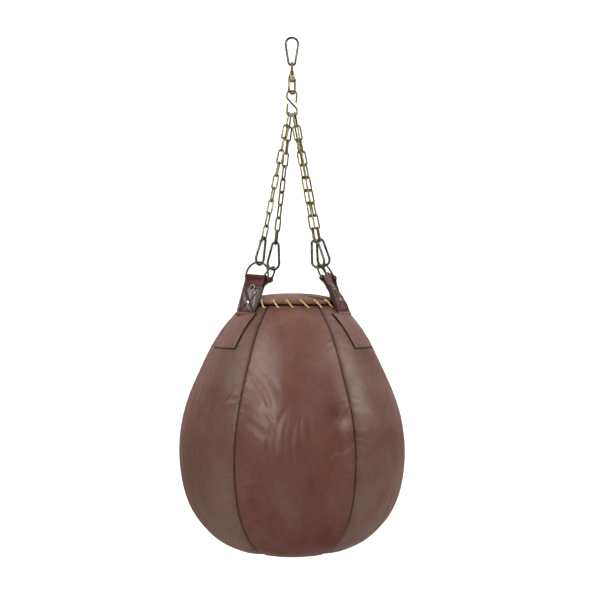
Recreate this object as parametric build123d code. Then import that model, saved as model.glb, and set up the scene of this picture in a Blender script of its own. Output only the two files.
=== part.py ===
from build123d import *
from math import asin, atan2, cos, degrees, radians, sin
import os

os.makedirs("parts", exist_ok=True)

# The origin is the seat inside the top hook's wide bow. +Z is up. -Y is the front. All in mm.
GAP = 0.3  # between pieces that move on each other
TOUCH = 0.1  # between pieces that lie on each other
LAYER_GAP = 0.3  # between the layers of the lining

# ---- stuffed leather body: a pear-shaped solid of revolution, heights above its flat bottom
BODY_BOTTOM_Z = -1012.0
BODY_PROFILE = [  # (radius, height)
    (108, 0),
    (147, 19),
    (176, 45),
    (201, 80),
    (222, 150),
    (224.8, 200),
    (212, 280),
    (179, 360),
    (134, 440),
    (98, 479),
]
CURVE_POINTS = 15
GORES = 6
GORE_GAP_DEG = 0.15
LEATHER = 3.0
LINER = 2.0
FOAM = 15.0
RIM_FLANGE = 13.0
LINING_DROP = 8.0  # below the rim, clear of the lacing

# ---- padded lid
CAP_R = 96.0
CAP_WALL_BOTTOM_Z = -530.0
CAP_EDGE_Z = -517.0
CAP_TOP_Z = -508.0
CAP_LEATHER = 3.0
CAP_EDGE_ROUND = 3.0
DOME_MID = (0.55, 0.74)  # shares of the lid's radius and rise that its curve passes through

# ---- lacing round the lid
LACE_R = 1.5
LACE_STITCHES = 22
LACE_LEAN = 0.36  # of one stitch's pitch, the sideways run of the outer leg
LACE_LOW_Z = -535.5
LACE_HIGH_Z = -524.0
LACE_INSET = 6.0
LACE_LIFT = 0.8  # of the cord's radius, how far it stands on the leather
HOLE_RUN = 0.08  # of a pitch, the sideways run through a hole
PADDING_INSET = 9.0

# ---- steel wire hardware
HOOK_WIRE_R = 2.5
HOOK_WIDE_R = 12.5  # wire centre line
HOOK_NARROW_R = 7.0
HOOK_REACH = 55.0  # from narrow end to wide end, wire centres
GATE_R = 2.4
GATE_PIVOT_STEP = 3.0  # from the tangent point to the gate's pin
TONGUE_T = 2.0
TONGUE_L = 4.6
SLOT_T = 2.4
SLOT_L = 5.6
PIN_R = 1.0
PIN_HEAD_R = 1.7
PIN_HEAD_T = 0.7
PIN_RUN = 0.06

EYE_WIRE_R = 2.25
EYE_R = 8.5
SHANK_TOP_R = 3.2
SHANK_R = 6.0
SHANK_L = 11.0
COLLAR_R = 6.6
COLLAR_L = 4.0
STEM_R = 3.0
STEM_RUN = 0.08
FRAME_BOSS_L = 5.0
FRAME_BOSS_R = 6.4
FRAME_WIRE_R = 2.25
FRAME_R = 9.75
FRAME_LEG_L = 19.0
FRAME_TURN_DEG = 50.0
RIVET_HEAD_R = 4.6
RIVET_HEAD_L = 3.0

S_WIRE_R = 2.1
S_RUN = 0.9  # room between the S-hook and the swivel's frame
S_HALF_H = 24.55
S_HALF_W = 10.0
S_BEND_R = 6.25
S_TIP = (8.7, 2.0)
S_DIAGONAL_Z = 11.0

LINK_WIRE_R = 1.75
LINK_HALF_W = 5.0  # wire centre line
LINK_PITCH = 26.0
LINK_SLACK = 0.1
LINKS = 10
SLOT_X_INNER = 1.9
SLOT_X_OUTER = 5.7
SLOT_OUTER_RISE = 1.9
FIRST_LINK_SPLAY = 0.075  # extra lean of the first link, towards its own side

RING_WIRE_R = 2.0
RING_HALF_W = 27.0
RING_LEG = 4.0

# ---- hanging straps: place (degrees from the front), facing (degrees), then (radius, z) points
STRAPS = {
    "front_left": (-57, -36, (112, -544), (109, -532), (84, -477), (78, -447)),
    "front_right": (61, 72, (112, -544), (108, -524), (75, -481), (60, -455)),
    "rear_left": (-120, -110, (112, -545), (106, -512), (55, -476), (43, -452)),
    "rear_right": (120, 98, (112, -544), (109, -531), (93, -474), (77, -445)),
}
PATCH_PLACES = {"front_left": -60, "front_right": 60, "rear_left": -120, "rear_right": 120}
STRAP_W = 48.0
STRAP_PLY = 3.4
STRAP_SINK = 14.0
SHOULDER_LOW_H = 300.0  # the lowest part of the body that a strap could meet
LOOP_NECK = 13.0
PATCH_W = 78.0
PATCH_T = 2.4
PATCH_LOW_H = 391.0
PATCH_HIGH_H = 471.0
PATCH_ARC_DEG = 50.0
RIVET_R = 2.0
RIVET_REST = 0.5  # room for the leather's bend under the caps
RIVET_CAP_R = 5.2
RIVET_CAP_T = 1.3
RIVET_BACK_R = 3.8
RIVET_BACK_T = 0.6
RIVET_PLACES = (0.62, 0.14)  # of the way from the knee to the ring


def save(node, shape):
    export_step(shape, f"parts/{node}.step")


def polar(azimuth_deg, radius, z):
    a = radians(azimuth_deg)
    return Vector(radius * sin(a), -radius * cos(a), z)


def spin(v, axis, angle_deg):
    return v.rotate(Axis((0, 0, 0), tuple(axis)), angle_deg)


def rod(start, end, radius):
    along = end - start
    plane = Plane(origin=start, z_dir=along)
    return extrude(plane * Circle(radius), amount=along.length)


def half_ring(radius, wire_r):
    """Half a wire ring in the XY plane, its bow along +Y, its centre at the origin."""
    return Torus(radius, wire_r, major_angle=180, align=None)


# ======================= stuffed body =======================
outside = [Vector(r, 0, BODY_BOTTOM_Z + h) for r, h in BODY_PROFILE]
outline = Spline(*outside)


def inset_point(share, inset):
    """The point at this share of the outline's length, moved inwards square to it."""
    along = outline % share
    return outline @ share - Vector(along.Z, 0, -along.X) * inset


def share_at(height, inset=0.0):
    low, high = 0.0, 1.0
    for _ in range(30):
        middle = (low + high) / 2
        if inset_point(middle, inset).Z - BODY_BOTTOM_Z < height:
            low = middle
        else:
            high = middle
    return low


def profile_curve(inset, low, high):
    """Points of the outline moved inwards by inset, between two heights."""
    first, last = share_at(low, inset), share_at(high, inset)
    return [
        inset_point(first + (last - first) * k / (CURVE_POINTS - 1), inset)
        for k in range(CURVE_POINTS)
    ]


def ring_section(outer, inner):
    """A closed section between two curves that run the same way."""
    edges = [
        Spline(*outer),
        Line(outer[-1], inner[-1]),
        Spline(*reversed(inner)),
        Line(inner[0], outer[0]),
    ]
    return make_face(edges)


def core_section(curve):
    low = Vector(0, 0, curve[0].Z)
    high = Vector(0, 0, curve[-1].Z)
    edges = [Spline(*curve), Line(curve[-1], high), Line(high, low), Line(low, curve[0])]
    return make_face(edges)


RIM_H = BODY_PROFILE[-1][1]
skin_inner = profile_curve(LEATHER, LEATHER, RIM_H - LEATHER)
rim_z = BODY_BOTTOM_Z + RIM_H
flange_r = BODY_PROFILE[-1][0] - RIM_FLANGE

gore_edges = [
    Spline(*outside),
    Line(outside[-1], (flange_r, 0, rim_z)),
    Line((flange_r, 0, rim_z), (flange_r, 0, rim_z - LEATHER)),
    Line((flange_r, 0, rim_z - LEATHER), skin_inner[-1]),
    Spline(*reversed(skin_inner)),
    Line(skin_inner[0], outside[0]),
]
gore = revolve(make_face(gore_edges), Axis.Z, 360 / GORES - 2 * GORE_GAP_DEG)
for i in range(GORES):
    # gore 1 is centred on the front
    start = -90 - 180 / GORES + GORE_GAP_DEG + i * 360 / GORES
    save(f"gore_panel_{i + 1}", Rot(0, 0, start) * gore)

disc_r = skin_inner[0].X - TOUCH
bottom_edges = [
    Line((0, 0, BODY_BOTTOM_Z), (outside[0].X - 1, 0, BODY_BOTTOM_Z)),
    Line((outside[0].X - 1, 0, BODY_BOTTOM_Z), (disc_r, 0, BODY_BOTTOM_Z + LEATHER)),
    Line((disc_r, 0, BODY_BOTTOM_Z + LEATHER), (0, 0, BODY_BOTTOM_Z + LEATHER)),
    Line((0, 0, BODY_BOTTOM_Z + LEATHER), (0, 0, BODY_BOTTOM_Z)),
]
save("bottom_disc", revolve(make_face(bottom_edges), Axis.Z))

liner_out = LEATHER + LAYER_GAP
foam_out = liner_out + LINER + LAYER_GAP
fill_out = foam_out + FOAM + LAYER_GAP
liner_top = RIM_H - LINING_DROP
liner = revolve(core_section(profile_curve(liner_out, liner_out, liner_top)), Axis.Z)
liner -= revolve(
    core_section(profile_curve(foam_out - LAYER_GAP, foam_out - LAYER_GAP, liner_top + 5)), Axis.Z
)
save("canvas_liner", liner)
foam = revolve(core_section(profile_curve(foam_out, foam_out, liner_top)), Axis.Z)
foam -= revolve(
    core_section(profile_curve(fill_out - LAYER_GAP, fill_out - LAYER_GAP, liner_top + 5)), Axis.Z
)
save("foam_layer", foam)
filling = revolve(core_section(profile_curve(fill_out, fill_out, liner_top)), Axis.Z)
save("textile_filling", filling)


# ======================= padded lid =======================
def dome(radius, edge_z, top_z, bottom_z):
    """A shallow domed disc with a straight wall."""
    mid = (radius * DOME_MID[0], 0, edge_z + (top_z - edge_z) * DOME_MID[1])
    edges = [
        ThreePointArc((0, 0, top_z), mid, (radius, 0, edge_z)),
        Line((radius, 0, edge_z), (radius, 0, bottom_z)),
        Line((radius, 0, bottom_z), (0, 0, bottom_z)),
        Line((0, 0, bottom_z), (0, 0, top_z)),
    ]
    return revolve(make_face(edges), Axis.Z)


cap = dome(CAP_R, CAP_EDGE_Z, CAP_TOP_Z, CAP_WALL_BOTTOM_Z)
cap_edges = cap.edges().filter_by(GeomType.CIRCLE)
cap = fillet([e for e in cap_edges if abs(e.center().Z - CAP_EDGE_Z) < 1], CAP_EDGE_ROUND)
inner_dome = dome(
    CAP_R - CAP_LEATHER,
    CAP_EDGE_Z - CAP_LEATHER,
    CAP_TOP_Z - CAP_LEATHER,
    CAP_WALL_BOTTOM_Z - 1,
)
cap -= inner_dome
save("top_cap", cap)
padding = dome(
    CAP_R - PADDING_INSET,
    CAP_EDGE_Z - CAP_LEATHER,
    CAP_TOP_Z - CAP_LEATHER - TOUCH,
    rim_z + TOUCH,
)
save("cap_padding", padding)


# ---- one cord, over the gap outside and back inside, all the way round
def lace_stitch():
    """One turn of the cord, from the middle of one inner run to the middle of the next."""
    pitch = 360 / LACE_STITCHES
    lean = LACE_LEAN * pitch
    inside = CAP_R - LACE_INSET
    outer_low = (outline @ share_at(LACE_LOW_Z - BODY_BOTTOM_Z)).X + LACE_R * LACE_LIFT
    high = polar(0, inside, LACE_HIGH_Z)
    low = polar(lean, inside, LACE_LOW_Z - 1)
    low_before = polar(lean - pitch, inside, LACE_LOW_Z - 1)
    high_after = polar(pitch, inside, LACE_HIGH_Z)
    points = [
        (low_before + high) * 0.5,
        polar(-HOLE_RUN * pitch, inside + LACE_R, LACE_HIGH_Z),
        polar(HOLE_RUN / 3 * pitch, CAP_R + LACE_R * LACE_LIFT, LACE_HIGH_Z + 0.5),
        polar(lean, outer_low, LACE_LOW_Z),
        polar(lean + HOLE_RUN * pitch, inside + LACE_R, LACE_LOW_Z - 1.5),
        (low + high_after) * 0.5,
    ]
    return Spline(*points, tangents=[high - low_before, high_after - low])


stitch_line = lace_stitch()
stitch_start = Plane(origin=stitch_line @ 0, z_dir=stitch_line % 0)
stitch = sweep(stitch_start * Circle(LACE_R), path=stitch_line)
stitches = [Rot(0, 0, i * 360 / LACE_STITCHES) * stitch for i in range(LACE_STITCHES)]
save("lacing_cord", Compound(children=stitches))


# ======================= spring hook =======================
def hook_parts():
    """Body, gate and pin in a local frame: narrow end at the origin, wide end along +Y,
    the gate on +X, wire in the XY plane. Also the pin's centre."""
    lean = asin((HOOK_WIDE_R - HOOK_NARROW_R) / (HOOK_REACH - HOOK_WIDE_R - HOOK_NARROW_R))
    narrow_c = Vector(0, HOOK_NARROW_R)
    wide_c = Vector(0, HOOK_REACH - HOOK_WIDE_R)
    side = Vector(cos(lean), -sin(lean))
    along = Vector(sin(lean), cos(lean))
    far = Vector(-cos(lean), -sin(lean))
    wide_r, wide_l = wide_c + side * HOOK_WIDE_R, wide_c + far * HOOK_WIDE_R
    narrow_r, narrow_l = narrow_c + side * HOOK_NARROW_R, narrow_c + far * HOOK_NARROW_R
    path = Wire(
        [
            ThreePointArc(wide_r, (0, HOOK_REACH), wide_l),
            Line(wide_l, narrow_l),
            ThreePointArc(narrow_l, (0, 0), narrow_r),
        ]
    )
    start = Plane(origin=path @ 0, z_dir=path % 0)
    body = sweep(start * Circle(HOOK_WIRE_R), path=path)
    pin_c = narrow_r + along * GATE_PIVOT_STEP
    gate_frame = Plane(origin=pin_c, x_dir=side, z_dir=(0, 0, 1))
    span = (wide_r - pin_c).length
    # tongue at the pin, and the nose that the gate closes on
    root_tongue = Pos(0, -GATE_PIVOT_STEP / 2 - 0.5, 0) * Box(
        2 * TONGUE_T, GATE_PIVOT_STEP + 1, TONGUE_T
    )
    root_tongue += Cylinder(TONGUE_T, TONGUE_T)
    root_tongue -= Cylinder(PIN_R, TONGUE_T * 2)
    nose = Pos(0, span - TONGUE_L / 2 + 0.5, 0) * Box(2 * TONGUE_T, TONGUE_L + 1, TONGUE_T)
    body += gate_frame * root_tongue
    body += gate_frame * nose
    gate_len = span - GAP - 0.1
    gate = Pos(0, gate_len / 2, 0) * Rot(90, 0, 0) * Cylinder(GATE_R, gate_len)
    gate += Sphere(GATE_R)
    gate -= Pos(0, 0, 0) * Box(3 * GATE_R, 2 * TONGUE_T + 4 * GAP + 1, SLOT_T)
    gate -= Pos(0, gate_len - SLOT_L / 2 + 0.5, 0) * Box(3 * GATE_R, SLOT_L + 1, SLOT_T)
    gate -= Cylinder(PIN_R + PIN_RUN, 4 * GATE_R)
    head_z = GATE_R + 0.05 + PIN_HEAD_T / 2
    pin = Cylinder(PIN_R, 2 * GATE_R + 0.2)
    for sign in (-1, 1):
        pin += Pos(0, 0, sign * head_z) * Cylinder(PIN_HEAD_R, PIN_HEAD_T)
    return body, gate_frame * gate, gate_frame * pin, pin_c


hook_body, hook_gate, hook_pin, hook_pin_c = hook_parts()


def place_hook(narrow_end, along, gate_side):
    """The plane whose local axes are gate side and length."""
    normal = gate_side.cross(along)
    return Plane(origin=narrow_end, x_dir=gate_side, z_dir=normal)


top_narrow = Vector(0, 0, HOOK_WIRE_R - HOOK_REACH)
top_plane = place_hook(top_narrow, Vector(0, 0, 1), Vector(1, 0, 0))
save("top_hook_body", top_plane * hook_body)
save("top_hook_gate", top_plane * hook_gate)
save("top_hook_pin", top_plane * hook_pin)

# ======================= swivel =======================
eye_top_z = top_narrow.Z + HOOK_WIRE_R + GAP + EYE_WIRE_R
eye_c_z = eye_top_z - EYE_R
shank_top_z = eye_c_z - EYE_R + EYE_WIRE_R * 0.6
collar_top_z = shank_top_z - SHANK_L
boss_top_z = collar_top_z - COLLAR_L - GAP
boss_low_z = boss_top_z - FRAME_BOSS_L
head_top_z = boss_low_z - GAP

eye = Pos(0, 0, eye_c_z) * Rot(0, 90, 0) * Torus(EYE_R, EYE_WIRE_R)
shank_h = shank_top_z - collar_top_z
eye += Pos(0, 0, collar_top_z + shank_h / 2) * Cone(SHANK_R, SHANK_TOP_R, shank_h)
eye -= Pos(0, 0, eye_c_z) * Rot(0, 90, 0) * Cylinder(EYE_R - EYE_WIRE_R, 20)
eye += Pos(0, 0, collar_top_z - COLLAR_L / 2) * Cylinder(COLLAR_R, COLLAR_L)
stem_l = collar_top_z - COLLAR_L - head_top_z
eye += Pos(0, 0, head_top_z + stem_l / 2) * Cylinder(STEM_R, stem_l)
eye += Pos(0, 0, head_top_z - RIVET_HEAD_L / 2) * Cone(
    RIVET_HEAD_R * 0.75, RIVET_HEAD_R, RIVET_HEAD_L
)
save("swivel_eye", eye)

leg_top_z = boss_top_z - FRAME_BOSS_L / 2
frame_c_z = leg_top_z - FRAME_LEG_L
frame = Pos(0, 0, leg_top_z) * Cylinder(FRAME_BOSS_R, FRAME_BOSS_L)
frame += Pos(0, 0, leg_top_z) * Box(
    2 * (FRAME_R + FRAME_WIRE_R * 0.4), 2 * FRAME_WIRE_R, FRAME_BOSS_L * 0.9
)
for sign in (-1, 1):
    frame += rod(
        Vector(sign * FRAME_R, 0, frame_c_z), Vector(sign * FRAME_R, 0, leg_top_z), FRAME_WIRE_R
    )
    frame += Pos(sign * FRAME_R, 0, leg_top_z) * Sphere(FRAME_WIRE_R)
frame += Pos(0, 0, frame_c_z) * Rot(-90, 0, 0) * half_ring(FRAME_R, FRAME_WIRE_R)
frame -= Pos(0, 0, leg_top_z) * Cylinder(STEM_R + STEM_RUN, FRAME_BOSS_L * 2)
save("swivel_frame", Rot(0, 0, FRAME_TURN_DEG) * frame)

# ======================= S-hook =======================
frame_low_z = frame_c_z - FRAME_R
s_top_z = frame_low_z + FRAME_WIRE_R + S_RUN + S_WIRE_R
s_c_z = s_top_z - S_HALF_H
s_low_z = s_c_z - S_HALF_H
s_points = [
    (S_TIP[0], S_TIP[1]),
    (S_HALF_W, S_HALF_H),
    (-S_HALF_W, S_HALF_H),
    (-S_HALF_W, S_DIAGONAL_Z),
    (S_HALF_W, -S_DIAGONAL_Z),
    (S_HALF_W, -S_HALF_H),
    (-S_HALF_W, -S_HALF_H),
    (-S_TIP[0], -S_TIP[1]),
]
s_path = FilletPolyline(*s_points, radius=S_BEND_R)
s_start = Plane(origin=s_path @ 0, z_dir=s_path % 0)
s_hook = sweep(s_start * Circle(S_WIRE_R), path=s_path)
for x, y in (s_points[0], s_points[-1]):
    s_hook += Pos(x, y, 0) * Sphere(S_WIRE_R)
s_plane = Plane(origin=(0, 0, s_c_z), x_dir=(1, 0, 0), z_dir=(0, -1, 0))
save("s_hook", s_plane * s_hook)


# ======================= chains, rings, straps =======================
def link_shape():
    """A long link in the XY plane, its length along Y."""
    straight = LINK_PITCH + LINK_SLACK - 2 * (LINK_HALF_W - LINK_WIRE_R)
    half = straight / 2
    link = None
    for sign in (-1, 1):
        leg = rod(Vector(sign * LINK_HALF_W, -half), Vector(sign * LINK_HALF_W, half), LINK_WIRE_R)
        turn = 0 if sign > 0 else 180
        bow = half_ring(LINK_HALF_W, LINK_WIRE_R)
        end = Pos(0, sign * half, 0) * Rot(0, 0, turn) * bow
        link = leg + end if link is None else link + leg + end
    return link


def ring_shape():
    """A D-ring: the bar along X through the origin, the bow along +Y."""
    ring = rod(Vector(-RING_HALF_W, 0), Vector(RING_HALF_W, 0), RING_WIRE_R)
    for sign in (-1, 1):
        ring += Pos(sign * RING_HALF_W, 0, 0) * Sphere(RING_WIRE_R)
        ring += rod(
            Vector(sign * RING_HALF_W, 0), Vector(sign * RING_HALF_W, RING_LEG), RING_WIRE_R
        )
    ring += Pos(0, RING_LEG, 0) * half_ring(RING_HALF_W, RING_WIRE_R)
    return ring


link_solid = link_shape()
ring_solid = ring_shape()
link_half = LINK_PITCH / 2 + LINK_WIRE_R
chain_span = 2 * link_half + LINK_PITCH * (LINKS - 1)
hook_from = chain_span - LINK_WIRE_R - HOOK_WIRE_R - GAP
ring_from = hook_from + HOOK_REACH - HOOK_WIRE_R - RING_WIRE_R - GAP
ring_reach = RING_HALF_W + RING_LEG

patch_outer = profile_curve(-PATCH_T - TOUCH, PATCH_LOW_H, PATCH_HIGH_H)
patch_inner = profile_curve(-TOUCH, PATCH_LOW_H, PATCH_HIGH_H)
patch = revolve(ring_section(patch_outer, patch_inner), Axis.Z, PATCH_ARC_DEG)
patch = Rot(0, 0, -90 - PATCH_ARC_DEG / 2) * patch
patch &= Pos(0, -2 * PATCH_W, rim_z) * Box(PATCH_W, 4 * PATCH_W, 5 * PATCH_W)
outer_shoulder = revolve(
    core_section(profile_curve(-PATCH_T - 2 * TOUCH, SHOULDER_LOW_H, RIM_H)), Axis.Z
)


def strap_shape(foot, knee, bar, across_low, across_high):
    """Two plies from the foot to a loop round the ring's bar."""
    low = (knee - foot).normalized()
    up = bar - knee
    up = (up - across_high * up.dot(across_high)).normalized()
    face_up = across_high.cross(up)
    neck = bar - up * LOOP_NECK
    middle = (low + (neck - knee).normalized()).normalized()
    sections = []
    for point, along, across in (
        (foot - low * STRAP_SINK, low, across_low),
        (knee, middle, across_low),
        (neck, up, across_high),
    ):
        plane = Plane(origin=point, x_dir=across, z_dir=along)
        sections.append(plane * Rectangle(STRAP_W, 2 * STRAP_PLY))
    strap = loft(sections, ruled=True) - outer_shoulder
    loop_r = RING_WIRE_R + GAP
    turn = Plane(origin=bar, x_dir=face_up, z_dir=across_high)
    blank = Circle(loop_r + STRAP_PLY)
    drop = LOOP_NECK if (turn.to_local_coords(neck)).Y > 0 else -LOOP_NECK
    blank += make_face(
        Polyline(
            (-loop_r - STRAP_PLY, 0),
            (-STRAP_PLY, drop),
            (STRAP_PLY, drop),
            (loop_r + STRAP_PLY, 0),
            close=True,
        )
    )
    blank -= Circle(loop_r)
    return strap + turn * extrude(blank, amount=STRAP_W / 2, both=True)


def rivets_and_holes(knee, bar, across_low, across_high):
    """Two riveted fixings through the plies, and the holes they need."""
    along = bar - knee
    rivets, holes = [], []
    for share in RIVET_PLACES:
        across = across_low + (across_high - across_low) * share
        out = across.cross(along).normalized()
        plane = Plane(origin=knee + along * share, z_dir=out)
        reach = STRAP_PLY + RIVET_REST
        rivet = Cylinder(RIVET_R, 2 * reach)
        rivet += Pos(0, 0, reach + RIVET_CAP_T / 2) * Cylinder(RIVET_CAP_R, RIVET_CAP_T)
        rivet += Pos(0, 0, -reach - RIVET_BACK_T / 2) * Cylinder(RIVET_BACK_R, RIVET_BACK_T)
        rivets.append(plane * rivet)
        holes.append(plane * Cylinder(RIVET_R + TOUCH, 40))
    return rivets, holes


slot_places = {
    "front_left": -SLOT_X_OUTER,
    "front_right": SLOT_X_INNER,
    "rear_left": -SLOT_X_INNER,
    "rear_right": SLOT_X_OUTER,
}
for name, (place, facing, foot_rz, knee_rz, bar_rz, ring_rz) in STRAPS.items():
    slot_x = slot_places[name]
    rise = SLOT_OUTER_RISE if abs(slot_x) == SLOT_X_OUTER else 0.0
    seat = Vector(slot_x, 0, s_low_z + rise)
    aim = polar(place, *ring_rz)
    side = Vector(0, FIRST_LINK_SPLAY if aim.Y > 0 else -FIRST_LINK_SPLAY, 0)
    first_down = ((aim - seat).normalized() + side).normalized()
    swing = Vector(0, first_down.Y, first_down.Z).normalized()
    start = seat - swing * (S_WIRE_R + GAP + LINK_WIRE_R)
    second = start + first_down * LINK_PITCH
    down = (aim - second).normalized()
    bar_aim = polar(place, *bar_rz)
    ring_top = second + down * (ring_from - LINK_PITCH)
    to_bar = (bar_aim - ring_top).normalized()
    bar = ring_top + to_bar * ring_reach
    across = Vector(cos(radians(facing)), sin(radians(facing)), 0)
    across = (across - to_bar * across.dot(to_bar)).normalized()

    # links turn a quarter at a time, with a small even twist to end square to the hook
    wide = Vector(0, 1, 0)
    wide = (wide - down * wide.dot(down)).normalized()
    last_wide = (across - down * across.dot(down)).normalized()
    turn = degrees(atan2(down.dot(wide.cross(last_wide)), wide.dot(last_wide)))
    extra = (turn - 90 * (LINKS - 1)) % 180
    if extra > 90:
        extra -= 180
    step = 90 + extra / (LINKS - 1)
    links = []
    for k in range(LINKS):
        lean = first_down if k == 0 else down
        centre = start + first_down * link_half
        if k > 0:
            centre = second + down * (link_half + LINK_PITCH * (k - 1))
        w = spin(wide, down, step * k)
        w = (w - lean * w.dot(lean)).normalized()
        plane = Plane(origin=centre, x_dir=w, z_dir=w.cross(lean))
        links.append(plane * link_solid)
    save(f"chain_{name}", Compound(children=links))

    narrow_end = second + down * (hook_from - LINK_PITCH)
    gate_side = down.cross(last_wide).normalized()
    outward = polar(place, 1, 0)
    if gate_side.dot(outward) < 0:
        gate_side = gate_side * -1
    hook_plane = place_hook(narrow_end, down, gate_side)
    save(f"spring_hook_body_{name}", hook_plane * hook_body)
    save(f"spring_hook_gate_{name}", hook_plane * hook_gate)
    save(f"spring_hook_pin_{name}", hook_plane * hook_pin)

    ring_plane = Plane(origin=bar, x_dir=across, z_dir=across.cross(to_bar * -1))
    save(f"d_ring_{name}", ring_plane * ring_solid)

    foot, knee = polar(place, *foot_rz), polar(place, *knee_rz)
    across_low = Vector(cos(radians(place)), sin(radians(place)), 0)
    strap = strap_shape(foot, knee, bar, across_low, across)
    rivets, holes = rivets_and_holes(knee, bar, across_low, across)
    strap -= rod(bar - across * STRAP_W, bar + across * STRAP_W, RING_WIRE_R + GAP)
    for hole in holes:
        strap -= hole
    save(f"strap_{name}", strap)
    save(f"strap_rivets_{name}", Compound(children=rivets))
    save(f"strap_patch_{name}", Rot(0, 0, PATCH_PLACES[name]) * patch)
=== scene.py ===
import math
import random

import bpy
import numpy as np
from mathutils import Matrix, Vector


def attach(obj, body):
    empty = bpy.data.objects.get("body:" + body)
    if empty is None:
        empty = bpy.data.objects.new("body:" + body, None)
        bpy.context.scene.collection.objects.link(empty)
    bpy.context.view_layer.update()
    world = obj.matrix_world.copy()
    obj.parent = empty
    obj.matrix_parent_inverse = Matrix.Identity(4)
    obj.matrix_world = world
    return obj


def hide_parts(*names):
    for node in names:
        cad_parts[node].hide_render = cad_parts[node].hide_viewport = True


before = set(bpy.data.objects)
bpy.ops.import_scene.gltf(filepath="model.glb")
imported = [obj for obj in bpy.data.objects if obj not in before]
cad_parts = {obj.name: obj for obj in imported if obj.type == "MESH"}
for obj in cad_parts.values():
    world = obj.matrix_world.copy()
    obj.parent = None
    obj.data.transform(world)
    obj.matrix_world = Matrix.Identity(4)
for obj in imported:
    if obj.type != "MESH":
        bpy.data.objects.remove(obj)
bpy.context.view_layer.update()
MM = 0.001

# ---- sizes in millimetres, in the row frame, as in the CAD
BODY_BOTTOM_Z = -1012.0
BODY_PROFILE = [
    (108, 0),
    (147, 19),
    (176, 45),
    (201, 80),
    (222, 150),
    (224.8, 200),
    (212, 280),
    (179, 360),
    (134, 440),
    (98, 479),
]
RIM_Z = BODY_BOTTOM_Z + BODY_PROFILE[-1][1]
GORES = 6
CAP_R = 96.0
LACES = 22
LACE_LEAN = 0.36
LACE_TURN = -6.6
LACE_HIGH_Z, LACE_LOW_Z = -524.0, -535.5
LACE_R = 1.5
STRAP_W, STRAP_PLY = 48.0, 3.4
LOOP_R = 2.3
PATCH_W, PATCH_T, PATCH_FLARE, PATCH_SKIRT = 71.0, 2.4, 3.2, 3.0
PATCH_LOW_H, PATCH_HIGH_H = 397.0, 463.0
PATCH_PLACES = {"front_left": -56.0, "front_right": 58.5, "rear_left": -122.0, "rear_right": 121.0}
# name: place and facing of the foot and facing of the ring (degrees), foot and knee (radius, z),
# the ring's bar and its top (x, y, z)
STRAPS = {
    "front_left": (
        (-53, -44, -36),
        ((112, -544), (109, -532)),
        ((-70.62, -45.86, -478.05), (-65.54, -42.57, -447.64)),
    ),
    "front_right": (
        (61, 57, 72),
        ((112, -544), (108, -524)),
        ((65.17, -36.13, -480.12), (52.14, -28.9, -452.94)),
    ),
    "rear_left": (
        (-120, -120, -110),
        ((112, -545), (106, -512)),
        ((-50.84, 29.36, -482.58), (-37.66, 21.74, -455.58)),
    ),
    "rear_right": (
        (120, 118, 98),
        ((112, -544), (109, -531)),
        ((80.83, 46.66, -474.56), (67.26, 38.85, -447.81)),
    ),
}
RIVET_PLACES = (0.6, 0.08)  # shares of the way from the knee to the ring's bar


# ======================= helpers =======================
def polar(azimuth, radius, z):
    a = math.radians(azimuth)
    return np.array([radius * math.sin(a), -radius * math.cos(a), z])


def unit(v):
    return v / np.linalg.norm(v)


def mesh_object(name, points, faces, material, smooth=True, attribute=None):
    """points in millimetres."""
    mesh = bpy.data.meshes.new(name)
    mesh.from_pydata([tuple(p) for p in np.asarray(points) * MM], [], faces)
    if attribute is not None:
        values = np.asarray(attribute, dtype=np.float32)
        if values.ndim == 1:
            values = np.repeat(values[:, None], 3, 1)
        layer = mesh.attributes.new("shade", "FLOAT_COLOR", "POINT")
        opaque = np.ones((len(values), 1), np.float32)
        layer.data.foreach_set("color", np.hstack([values, opaque]).ravel())
    mesh.update()
    if smooth:
        mesh.polygons.foreach_set("use_smooth", [True] * len(mesh.polygons))
    obj = bpy.data.objects.new(name, mesh)
    bpy.context.scene.collection.objects.link(obj)
    mesh.materials.append(material)
    return obj


def grid_faces(rows, columns, wrap_rows=False, wrap_columns=False, start=0, flip=False):
    faces = []
    for i in range(rows if wrap_rows else rows - 1):
        for j in range(columns if wrap_columns else columns - 1):
            a = i * columns + j
            b = i * columns + (j + 1) % columns
            c = ((i + 1) % rows) * columns + (j + 1) % columns
            d = ((i + 1) % rows) * columns + j
            quad = (a, d, c, b) if flip else (a, b, c, d)
            faces.append(tuple(start + k for k in quad))
    return faces


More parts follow.
